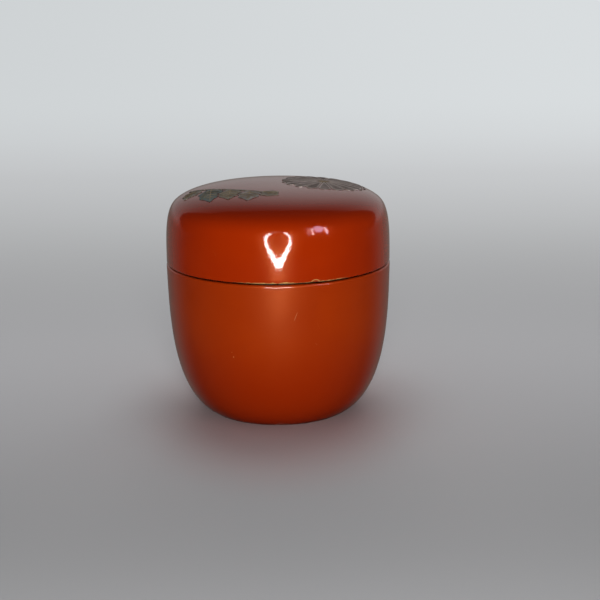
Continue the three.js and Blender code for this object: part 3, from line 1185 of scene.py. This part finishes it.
@dataclass
class Spray:
    """A leafy spray: a curved stem with five lobed leaves and their gold veins."""

    crown: Crown
    start: tuple[float, float] = (-25.6, -0.6)
    bend: tuple[float, float] = (-15, -7.6)
    end: tuple[float, float] = (-4.4, -13.4)
    stem_width: float = 0.8
    gap: float = 0.35
    lift: float = 0.05
    thickness: float = 0.15
    vein_thickness: float = 0.1
    vein_width: float = 0.35
    vein_pitch: float = 2.2
    vein_angle: float = 42
    vein_margin: float = 0.7
    vein_taper: float = 0.55
    vein_clearance: float = 1.1
    stem_grid: tuple[int, int] = (36, 4)
    leaf_grid: tuple[int, int] = (40, 16)
    vein_grid: tuple[int, int] = (14, 2)
    leaves: tuple[Leaf, ...] = (
        Leaf("leaf_grey", 9.4, 7, 0.85, -95, DULL, "silver_powder"),
        Leaf("leaf_olive", 10, 7, 0.58, -93, OLIVE, "dull_gold_powder"),
        Leaf("leaf_dark", 12.6, 7.6, 0.31, -90, DARK, "dark_lacquer"),
        Leaf("leaf_end", 6.2, 6.4, 1, -40, OLIVE, "dull_gold_powder"),
        Leaf("leaf_outer", 7.4, 6, 0.13, -122, OLIVE, "dull_gold_powder"),
    )

    def on_stem(self, share: float) -> Vector:
        """Returns the point of the stem at a share of its curve."""
        start, bend, end = (Vector(point) for point in (self.start, self.bend, self.end))
        return start.lerp(bend, share).lerp(bend.lerp(end, share), share)

    def stem(self, margin: float = 0.0) -> bmesh.types.BMesh:
        """Shapes the stem, or what is kept clear of it.

        Args:
            margin: How far it is grown all round.

        Returns:
            The flat top of the stem.
        """
        bm = bmesh.new()
        steps, steps_across = self.stem_grid
        bmesh.ops.create_grid(bm, x_segments=steps, y_segments=steps_across, size=1)
        half = self.stem_width / 2 + margin
        for vert in bm.verts:
            share, across = (vert.co.x + 1) / 2, vert.co.y
            point = self.on_stem(share)
            ahead = (self.on_stem(share + 0.01) - self.on_stem(share - 0.01)).normalized()
            side = Vector((-ahead.y, ahead.x)) * across * half
            point += side + ahead * margin * (2 * share - 1)
            vert.co = Vector((*point, self.thickness * (1 - 0.5 * across**2)))
        return bm

    def place(self, bm: bmesh.types.BMesh, leaf: Leaf) -> None:
        """Turns a leaf or its veins and moves them to their place on the stem.

        Args:
            bm: The shape, which is changed.
            leaf: The leaf.
        """
        bmesh.ops.rotate(bm, verts=bm.verts, cent=Vector(), matrix=z_turn(leaf.angle))
        root = self.on_stem(leaf.along)
        bmesh.ops.translate(bm, verts=bm.verts, vec=Vector((*root, 0)))

    def blade(self, leaf: Leaf, margin: float = 0.0) -> bmesh.types.BMesh:
        """Shapes a leaf, or what is kept clear of it.

        Args:
            leaf: The leaf.
            margin: How far it is grown all round.

        Returns:
            The flat top of the leaf in its place.
        """
        bm = bmesh.new()
        steps, steps_across = self.leaf_grid
        bmesh.ops.create_grid(bm, x_segments=steps, y_segments=steps_across, size=1)
        for vert in bm.verts:
            share, across = (1 - math.cos((vert.co.x + 1) * math.pi / 2)) / 2, vert.co.y
            half = leaf.half_width(share, margin)
            along = share * (leaf.length + 2 * margin) - margin
            # The blade swells between its midrib and its edge, and is even at its ends
            full = min(1.0, 4 * half / leaf.width)
            swell = 0.25 * math.sin(math.pi * abs(across)) - 0.3 * across**4
            rise = self.thickness * (0.75 + full * swell)
            vert.co = Vector((along, half * across, rise))
        self.place(bm, leaf)
        return bm

    def veins(self, leaf: Leaf) -> bmesh.types.BMesh:
        """Shapes the midrib and the paired side veins of a leaf.

        Args:
            leaf: The leaf.

        Returns:
            The tops of the veins in their place.
        """
        bm = bmesh.new()
        ribs = [(self.vein_margin, 0.0, leaf.length - 2 * self.vein_margin)]
        slope = math.sin(math.radians(self.vein_angle))
        x = self.vein_pitch
        while x < leaf.length - self.vein_pitch:
            room = leaf.half_width((x + self.vein_pitch / 2) / leaf.length, -self.vein_margin)
            ribs += [(x, self.vein_angle, room / slope), (x, -self.vein_angle, room / slope)]
            x += self.vein_pitch
        steps, steps_across = self.vein_grid
        for start, angle, length in ribs:
            made = bmesh.ops.create_grid(bm, x_segments=steps, y_segments=steps_across, size=1)
            ahead = step(angle, 1)
            side = Vector((-ahead.y, ahead.x))
            # A side vein starts clear of the midrib
            clear = self.vein_clearance * self.vein_width / slope / 2 if angle else 0
            for vert in made["verts"]:
                share, across = (vert.co.x + 1) / 2, vert.co.y
                half = self.vein_width / 2 * (1 - self.vein_taper * share)
                point = ahead * (clear + (length - clear) * share) + side * half * across
                rise = self.vein_thickness * (1 - 0.5 * across**2)
                vert.co = Vector((point.x + start, point.y, rise))
        self.place(bm, leaf)
        return bm

    def build(self) -> None:
        """Builds and dresses the stem, the leaves and the veins."""
        stem = self.stem()
        backed(stem)
        self.crown.lay(stem, self.lift)
        piece = finish_mesh("stem_relief", stem)
        hand_in(piece, "lid", "stem", OLIVE.material())
        taken = [prism(self.stem(self.gap))]
        top = self.lift * 2 + self.thickness
        for leaf in self.leaves:
            blade, veins = self.blade(leaf), self.veins(leaf)
            backed(blade)
            backed(veins)
            blade, veins = carve(blade, taken), carve(veins, taken)
            self.crown.lay(blade, self.lift)
            self.crown.lay(veins, top)
            piece = finish_mesh(f"{leaf.name}_relief", blade)
            hand_in(piece, "lid", leaf.name, leaf.powder.material())
            piece = finish_mesh(f"{leaf.name}_vein_lines", veins)
            hand_in(piece, "lid", f"{leaf.name}_veins", GOLD.material())
            taken.append(prism(self.blade(leaf, self.gap)))
        for cutter in taken:
            bpy.data.objects.remove(cutter)


# The studio


@dataclass(frozen=True)
class Paper(Finish):
    """Uncoated pale grey paper: quite matt, with no grain at this distance.

    Towards the back it shines a little by itself, as under a lamp of its own. What is glossy
    sees it in tones of its own, and dark in a wedge in front, where nothing stands to be seen.
    Round the caddy's foot it has a painted contact shadow, warmed by painted red light from the
    lacquer. Its places are in metres, apart from the spots.
    """

    title: str = "paper_matt_pale"
    lamp_pool: Spot = Spot((10, -350, 0), (215, 200, 200))
    red_bounce_shadow: Spot = Spot((0, -24, 0), (42, 58, 58), core=0.3, strength=0.45)
    contact: float = 0.03
    wedge_point: float = -0.022
    wedge_from: float = 48
    wedge_to: float = 78

    def shader(self, tree: bpy.types.NodeTree, place: bpy.types.NodeSocket) -> bpy.types.Node:
        """Builds the paper.

        Args:
            tree: The node tree.
            place: The object coordinates.

        Returns:
            The shader node.
        """
        front = self.front(tree, place)
        matt = add(tree, "ShaderNodeBsdfDiffuse", {"Color": self.floor(tree, place, front)})
        lit = {"Color": self.shine(tree, place, front), "Strength": self.rightward_shine(tree, place)}
        lit = add(tree, "ShaderNodeEmission", lit)
        deep = add(tree, "ShaderNodeSeparateXYZ", {0: place}).outputs["Y"]
        share = {"Value": deep, "From Min": -0.02, "From Max": 0.3}
        share = add(tree, "ShaderNodeMapRange", share, **SMOOTH)
        return add(tree, "ShaderNodeMixShader", {0: share, 1: matt, 2: lit})

    def front(self, tree: bpy.types.NodeTree, place: bpy.types.NodeSocket) -> bpy.types.Node:
        """Marks the wedge in front of the caddy, for what is glossy only.

        Args:
            tree: The node tree.
            place: The object coordinates.

        Returns:
            The node with the share of the dark tone.
        """
        split = add(tree, "ShaderNodeSeparateXYZ", {0: place}).outputs
        aside = add(tree, "ShaderNodeMath", {0: split["X"]}, operation="ABSOLUTE")
        deep = {0: split["Y"], 1: self.wedge_point}
        deep = add(tree, "ShaderNodeMath", deep, operation="SUBTRACT")
        turn = add(tree, "ShaderNodeMath", {0: aside, 1: deep}, operation="ARCTAN2")
        wedge = {"Value": turn, "From Min": math.radians(self.wedge_from)}
        wedge["From Max"] = math.radians(self.wedge_to)
        wedge = add(tree, "ShaderNodeMapRange", wedge, **SMOOTH)
        glossy = add(tree, "ShaderNodeLightPath", {}).outputs["Is Glossy Ray"]
        return add(tree, "ShaderNodeMath", {0: wedge, 1: glossy}, operation="MULTIPLY")

    def floor(
        self, tree: bpy.types.NodeTree, place: bpy.types.NodeSocket, front: bpy.types.Node
    ) -> bpy.types.Node:
        """Builds the colour of the matt paper.

        Args:
            tree: The node tree.
            place: The object coordinates.
            front: The share of the dark wedge.

        Returns:
            The node with the colour.
        """
        deep = add(tree, "ShaderNodeSeparateXYZ", {0: place}).outputs["Y"]
        glossy = add(tree, "ShaderNodeLightPath", {}).outputs["Is Glossy Ray"]
        # The paper is painted darker in front, where the key lamp is near, and paler towards the
        # back: painted shade and light that grade the floor
        near = {"Value": deep, "From Min": -0.12, "From Max": 0.08}
        near = add(tree, "ShaderNodeMapRange", near, **SMOOTH)
        far = {"Value": deep, "From Min": 0.0, "From Max": 0.3}
        far = add(tree, "ShaderNodeMapRange", far, **SMOOTH)
        # The painted contact shadow follows how far the caddy closes the paper in
        air = add(tree, "ShaderNodeAmbientOcclusion", {"Distance": self.contact}, samples=8)
        contact_shadow = {"Value": air.outputs["AO"], "From Min": 1.0, "From Max": 0.45, "To Max": 0.35}
        contact_shadow = add(tree, "ShaderNodeMapRange", contact_shadow, **SMOOTH)
        tones = {"Factor": near, "A": linear("#9e9e9f"), "B": linear("#dadadc")}
        colour = add(tree, "ShaderNodeMix", tones, **IN_COLOUR)
        layers = (
            # Under the lamp it is darker, so that no pool of light shows from behind
            (self.lamp_pool.mark(tree, place), "#646465"),
            # Before the foot, a painted shadow, warmed by painted red light bounced from the
            # lacquer
            (self.red_bounce_shadow.mark(tree, place), "#a88684"),
            # Where the caddy closes the paper in, a painted contact shadow
            (contact_shadow, "#84524d"),
            (far, "#ececee"),
            (glossy, "#8f8781"),
            (front, "#28282b"),
        )
        for share, tone in layers:
            tones = {"Factor": share, "A": colour, "B": linear(tone)}
            colour = add(tree, "ShaderNodeMix", tones, **IN_COLOUR)
        return colour

    def shine(
        self, tree: bpy.types.NodeTree, place: bpy.types.NodeSocket, front: bpy.types.Node
    ) -> bpy.types.Node:
        """Builds the colour that the paper shines with towards the back.

        Args:
            tree: The node tree.
            place: The object coordinates.
            front: The share of the dark wedge.

        Returns:
            The node with the colour.
        """
        split = add(tree, "ShaderNodeSeparateXYZ", {0: place}).outputs
        paths = add(tree, "ShaderNodeLightPath", {}).outputs
        # What the camera sees: a floor that pales up to the backdrop
        rise = {"Value": split["Y"], "From Min": -0.1, "From Max": 0.56}
        rise = add(tree, "ShaderNodeMapRange", rise, **SMOOTH)
        tones = {"Factor": rise, "A": linear("#909090"), "B": linear("#c6c8ca")}
        seen = add(tree, "ShaderNodeMix", tones, **IN_COLOUR)
        back = {"Value": split["Y"], "From Min": 0.42, "From Max": 0.6}
        back = add(tree, "ShaderNodeMapRange", back, **SMOOTH)
        tones = {"Factor": back, "A": seen, "B": linear("#d1d5d7")}
        seen = add(tree, "ShaderNodeMix", tones, **IN_COLOUR)
        # What the lacquer mirrors: the foot of the backdrop is dim, and so is its top
        high = {"Value": split["Z"], "From Min": 0.3, "From Max": 1.9}
        high = add(tree, "ShaderNodeMapRange", high, **SMOOTH)
        tones = {"Factor": high, "A": linear("#a09c9b"), "B": linear("#615b58")}
        mirrored = add(tree, "ShaderNodeMix", tones, **IN_COLOUR)
        wall = {"Value": split["Z"], "From Min": 0.0, "From Max": 0.15}
        wall = add(tree, "ShaderNodeMapRange", wall, **SMOOTH)
        tones = {"Factor": wall, "A": linear("#6e6862"), "B": mirrored}
        mirrored = add(tree, "ShaderNodeMix", tones, **IN_COLOUR)
        tones = {"Factor": front, "A": mirrored, "B": linear("#343536")}
        mirrored = add(tree, "ShaderNodeMix", tones, **IN_COLOUR)
        # What lights the caddy is dimmer than what is seen, so that its flanks stay deep
        tones = {"Factor": paths["Is Camera Ray"], "A": linear("#68686a"), "B": seen}
        glow = add(tree, "ShaderNodeMix", tones, **IN_COLOUR)
        tones = {"Factor": paths["Is Glossy Ray"], "A": glow, "B": mirrored}
        return add(tree, "ShaderNodeMix", tones, **IN_COLOUR)

    def rightward_shine(self, tree: bpy.types.NodeTree, place: bpy.types.NodeSocket) -> bpy.types.Node:
        """Makes the paper's shine, a painted light, a little stronger towards the right.

        Args:
            tree: The node tree.
            place: The object coordinates.

        Returns:
            The node with the strength of its shine.
        """
        side = add(tree, "ShaderNodeSeparateXYZ", {0: place}).outputs["X"]
        glossy = add(tree, "ShaderNodeLightPath", {}).outputs["Is Glossy Ray"]
        seen = {"Value": side, "From Min": -0.3, "From Max": 0.3, "To Min": 0.97, "To Max": 1.09}
        seen = add(tree, "ShaderNodeMapRange", seen, **SMOOTH)
        mirrored = {"Value": side, "From Min": -0.2, "From Max": 0.2}
        mirrored |= {"To Min": 0.95, "To Max": 1.18}
        mirrored = add(tree, "ShaderNodeMapRange", mirrored, **SMOOTH)
        return add(tree, "ShaderNodeMix", {"Factor": glossy, "A": seen, "B": mirrored})


def hang(lamp: bpy.types.Light, place: Vector, target: Vector) -> bpy.types.Object:
    """Hangs a lamp, unseen by the camera.

    Args:
        lamp: The lamp.
        place: Where it hangs.
        target: The point that it is turned to.

    Returns:
        The lamp's object.
    """
    box = in_scene(lamp.name, lamp)
    box.location = place
    box.rotation_euler = (target - place).to_track_quat("-Z", "Y").to_euler()
    box.visible_camera = False
    return box


@dataclass(frozen=True)
class Softbox:
    """A wide soft lamp far away, at a bearing and height; it lights but isn't mirrored."""

    name: str
    bearing: float
    elevation: float
    spread: float
    level: float
    distance: float = 2.0

    def build(self) -> None:
        """Hangs the lamp; a matt white face square to it renders at its level."""
        lamp = bpy.data.lights.new(self.name, "SUN")
        lamp.energy, lamp.angle = self.level * math.pi, math.radians(self.spread)
        box = in_scene(self.name, lamp)
        turn = (math.radians(90 - self.elevation), 0, math.radians(self.bearing))
        box.rotation_euler = turn
        box.location = Euler(turn).to_matrix() @ Vector((0, 0, self.distance))
        box.visible_camera = False
        box.visible_glossy = False


@dataclass(frozen=True)
class KeyLamp:
    """A soft round lamp close by the lens, so that the flanks and the crown fall off."""

    place: tuple[float, float, float] = (0.01, -0.36, 0.1)
    width: float = 0.08
    level: float = 0.84

    def build(self, target: Vector, front: float) -> None:
        """Hangs the lamp.

        Args:
            target: The point that it is turned to.
            front: How far in front of the axis a white face renders at the lamp's level.
        """
        lamp = bpy.data.lights.new("key_lamp", "AREA")
        lamp.shape, lamp.size = "DISK", self.width
        lamp.energy = self.level * (math.pi * (-self.place[1] - front)) ** 2
        hang(lamp, Vector(self.place), target).visible_glossy = False


@dataclass(frozen=True)
class GlossLamp:
    """A small lamp that shows only in what is glossy, at a bearing and height."""

    name: str
    bearing: float
    elevation: float
    width: float
    height: float
    light: float
    colour: str
    distance: float = 0.5

    def build(self, target: Vector) -> None:
        """Hangs the lamp.

        Args:
            target: The point that it is turned to.
        """
        lamp = bpy.data.lights.new(self.name, "AREA")
        lamp.shape, lamp.size, lamp.size_y = "ELLIPSE", self.width, self.height
        lamp.energy = self.light * math.pi * self.width * self.height
        lamp.color = linear(self.colour)[:3]
        turn = Euler((math.radians(-self.elevation), 0, math.radians(self.bearing)))
        ahead = turn.to_matrix() @ Vector((0, -1, 0))
        hang(lamp, target + ahead * self.distance, target).visible_diffuse = False


@dataclass(frozen=True)
class RingLamp:
    """A ring of small lamps round the line of sight, seen only in what is glossy.

    The ring is nearly dark over a gap at its top, and drawn in towards its foot.
    """

    centre: tuple[float, float, float] = (0.0, -0.283, 0.078)
    half_width: float = 0.058
    half_height: float = 0.074
    pinch: float = 0.3
    pinch_power: int = 4
    count: int = 44
    size: float = 0.0115
    growth: float = 0.005
    gap: float = 0.09
    gap_level: float = 0.03
    level: float = 70

    def build(self, target: Vector) -> None:
        """Hangs the lamps.

        Args:
            target: The point that they are turned to.
        """
        for i in range(self.count):
            turn = 2 * math.pi * i / self.count
            down = (1 - math.cos(turn)) / 2
            size = self.size + self.growth * down
            lamp = bpy.data.lights.new(f"ring_lamp_{i:02d}", "AREA")
            lamp.shape, lamp.size = "DISK", size
            lamp.energy = self.level * size**2 * (self.gap_level if down < self.gap else 1)
            pinched = 1 - self.pinch * down**self.pinch_power
            across = self.half_width * math.sin(turn) * pinched
            offset = Vector((across, 0, self.half_height * math.cos(turn)))
            hang(lamp, Vector(self.centre) + offset, target).visible_diffuse = False


@dataclass
class Studio:
    """A pale paper floor and backdrop, soft lamps and the camera of the reference view."""

    floor_size: float = 6.0
    wall_distance: float = 1.0
    wall_width: float = 2.7
    wall_height: float = 1.95
    wall_sink: float = 0.0005
    cove: float = 0.6
    cove_pull: float = 0.55
    cove_steps: int = 16
    air_colour: str = "#fbfcff"
    air_ambient: float = 0.07
    air_overhead: float = 0.32
    air_seen: float = 0.42
    air_mirrored: float = 0.015
    camera_place: tuple[float, float, float] = (0.0, -0.40549, 0.13398)
    yaw: float = 0.89
    pitch: float = 14.12
    roll: float = -0.62
    lens: float = 84.0
    sensor: float = 36.0
    nearest: float = 0.01
    caddy_middle: tuple[float, float, float] = (0, 0, 0.056)
    caddy_front: float = 0.033
    softboxes: tuple[Softbox, ...] = (
        Softbox("back_softbox", 170, 50, 60, 0.27),
        Softbox("rear_softbox", 180, 8, 30, 0.4),
    )
    gloss_lamps: tuple[GlossLamp, ...] = (
        GlossLamp("streak_lamp", 34.5, 16, 0.011, 0.12, 28, "#f6d9dc"),
        GlossLamp("faint_lamp", 30.5, 17, 0.03, 0.15, 2.4, "#e6c6d4"),
        GlossLamp("side_lamp", 42.0, 20, 0.085, 0.13, 8.5, "#cbb9e0"),
        GlossLamp("end_lamp", 49.5, 15, 0.024, 0.12, 16, "#f0cfdc"),
    )

    def lay_paper(self, name: str, bm: bmesh.types.BMesh) -> bpy.types.Object:
        """Makes a sheet of the paper, which isn't part of the caddy.

        Args:
            name: The name of the sheet.
            bm: Its shape, which is freed.

        Returns:
            The sheet.
        """
        sheet = in_scene(name, as_mesh(name, bm))
        sheet.data.shade_smooth()
        sheet.data.materials.append(Paper().material())
        return sheet

    def build_paper(self) -> None:
        """Builds the floor and the backdrop that rises from it behind the caddy."""
        floor = bmesh.new()
        bmesh.ops.create_grid(floor, x_segments=1, y_segments=1, size=self.floor_size / 2)
        self.lay_paper("paper_floor", floor)

        wall = bmesh.new()
        start = Vector((self.wall_distance - self.cove, -self.wall_sink))
        corner = Vector((self.wall_distance, -self.wall_sink))
        end = corner + Vector((0, self.cove))
        pull, back = start.lerp(corner, self.cove_pull), end.lerp(corner, self.cove_pull)
        rise = cubic(start, pull, back, end, self.cove_steps)
        rise.append(Vector((self.wall_distance, self.wall_height)))
        verts = [wall.verts.new((-self.wall_width / 2, *point)) for point in rise]
        edges = [wall.edges.new(pair) for pair in zip(verts, verts[1:])]
        made = bmesh.ops.extrude_edge_only(wall, edges=edges)["geom"]
        moved = [item for item in made if isinstance(item, bmesh.types.BMVert)]
        bmesh.ops.translate(wall, verts=moved, vec=Vector((self.wall_width, 0, 0)))
        self.lay_paper("paper_backdrop", wall).visible_shadow = False

    def build_air(self) -> None:
        """Builds the even light of the room: pale to the eye, dim to what is glossy."""
        world = bpy.data.worlds.new("studio_air")
        world.use_nodes = True
        bpy.context.scene.world = world
        tree = world.node_tree
        tree.nodes.clear()
        path = add(tree, "ShaderNodeLightPath", {}).outputs
        way = add(tree, "ShaderNodeTexCoord", {}).outputs["Generated"]
        height = add(tree, "ShaderNodeSeparateXYZ", {0: way}).outputs["Z"]
        even = {"Value": height, "To Min": self.air_ambient, "To Max": self.air_overhead}
        even = add(tree, "ShaderNodeMapRange", even)
        seen = {"Factor": path["Is Camera Ray"], "A": even, "B": self.air_seen}
        seen = add(tree, "ShaderNodeMix", seen)
        level = {"Factor": path["Is Glossy Ray"], "A": seen, "B": self.air_mirrored}
        level = add(tree, "ShaderNodeMix", level)
        air = {"Color": linear(self.air_colour), "Strength": level}
        air = add(tree, "ShaderNodeBackground", air)
        add(tree, "ShaderNodeOutputWorld", {"Surface": air})

    def build_camera(self) -> None:
        """Sets the camera up at the reference view."""
        yaw, pitch, roll = (math.radians(a) for a in (self.yaw, self.pitch, self.roll))
        level = Vector((math.sin(yaw), math.cos(yaw), 0))
        ahead = level * math.cos(pitch) - Vector((0, 0, math.sin(pitch)))
        right = Vector((math.cos(yaw), -math.sin(yaw), 0))
        up = right.cross(ahead)
        turned_right = right * math.cos(roll) + up * math.sin(roll)
        turned_up = up * math.cos(roll) - right * math.sin(roll)
        lens = bpy.data.cameras.new("camera")
        lens.lens, lens.sensor_width, lens.clip_start = self.lens, self.sensor, self.nearest
        camera = in_scene("camera", lens)
        turn = Matrix((turned_right, turned_up, -ahead)).transposed().to_4x4()
        camera.matrix_world = Matrix.Translation(self.camera_place) @ turn
        bpy.context.scene.camera = camera

    def build(self) -> None:
        """Builds the whole studio."""
        self.build_camera()
        self.build_paper()
        self.build_air()
        middle = Vector(self.caddy_middle)
        KeyLamp().build(middle, self.caddy_front)
        RingLamp().build(middle)
        for softbox in self.softboxes:
            softbox.build()
        for lamp in self.gloss_lamps:
            lamp.build(middle)
        bpy.context.scene.view_settings.view_transform = "Standard"


def main() -> None:
    """Builds the studio and the caddy."""
    logging.basicConfig(level=logging.INFO, format="%(name)s: %(message)s")
    Studio().build()
    Cup().build()
    lid = Lid()
    lid.build()
    crown = Crown(lid)
    Flower(crown).build()
    Spray(crown).build()


if __name__ == "__main__":
    main()
